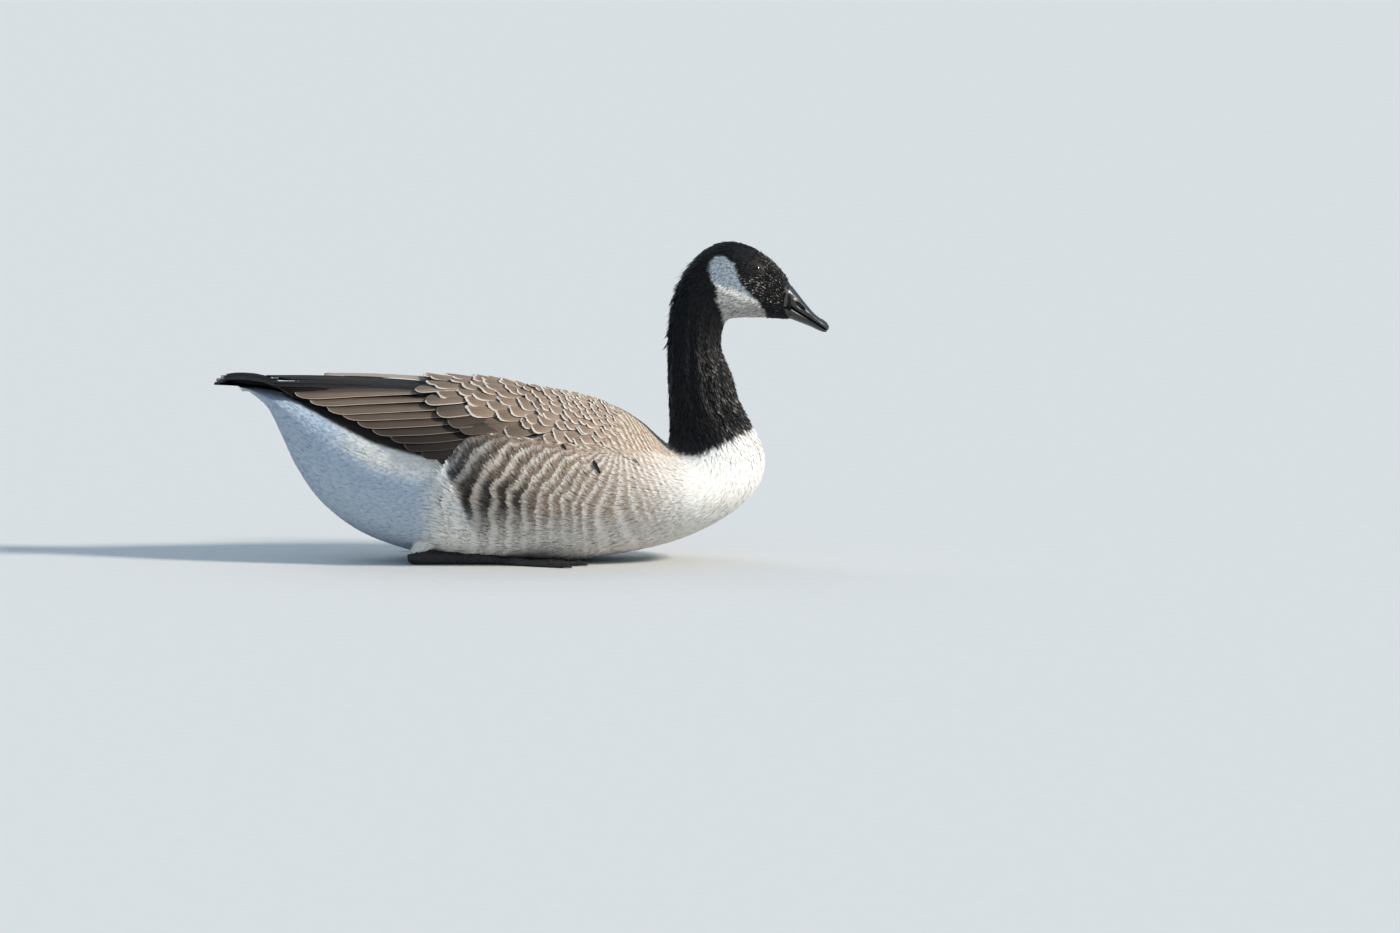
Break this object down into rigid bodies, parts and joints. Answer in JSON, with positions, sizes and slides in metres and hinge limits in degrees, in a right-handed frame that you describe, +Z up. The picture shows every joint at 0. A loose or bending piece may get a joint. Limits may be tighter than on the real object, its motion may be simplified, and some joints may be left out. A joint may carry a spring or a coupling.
{
  "type": "canada goose",
  "caption": "Life-size Canada goose resting on its belly, neck up and wings folded, with webbed feet tucked beneath and a fanned tail.",
  "frame": {"origin": "on the floor under the middle of the bird's length and width", "axes": "+X to the bill, +Y to the bird's left, +Z up"},
  "size_m": [0.6151, 0.212, 0.319],
  "materials": {
    "pale_plumage": "white to cream and grey-brown barred body feathers, soft and matt",
    "black_plumage": "black neck and head feathers with a soft sheen and a white cheek patch",
    "brown_plumage": "brown wing feathers with pale fringes",
    "tail_feathers": "black tail feathers with a low sheen",
    "bill": "black horn with a satin gloss",
    "eye": "very dark brown, wet gloss",
    "foot_skin": "black scaled skin",
    "claw": "black horn"
  },
  "bodies": {
    "root": {"torso": "pale_plumage", "neck_lower": "black_plumage", "neck_upper": "black_plumage", "head": "black_plumage", "bill_upper": "bill", "bill_lower": "bill", "eye_left": "eye", "eye_right": "eye", "tail": "tail_feathers", "wing_left": "brown_plumage", "wing_right": "brown_plumage", "leg_left": "foot_skin", "leg_right": "foot_skin", "foot_left": "foot_skin", "foot_right": "foot_skin", "claw_inner_left": "claw", "claw_inner_right": "claw", "claw_middle_left": "claw", "claw_middle_right": "claw", "claw_outer_left": "claw", "claw_outer_right": "claw"}
  },
  "joints": []
}
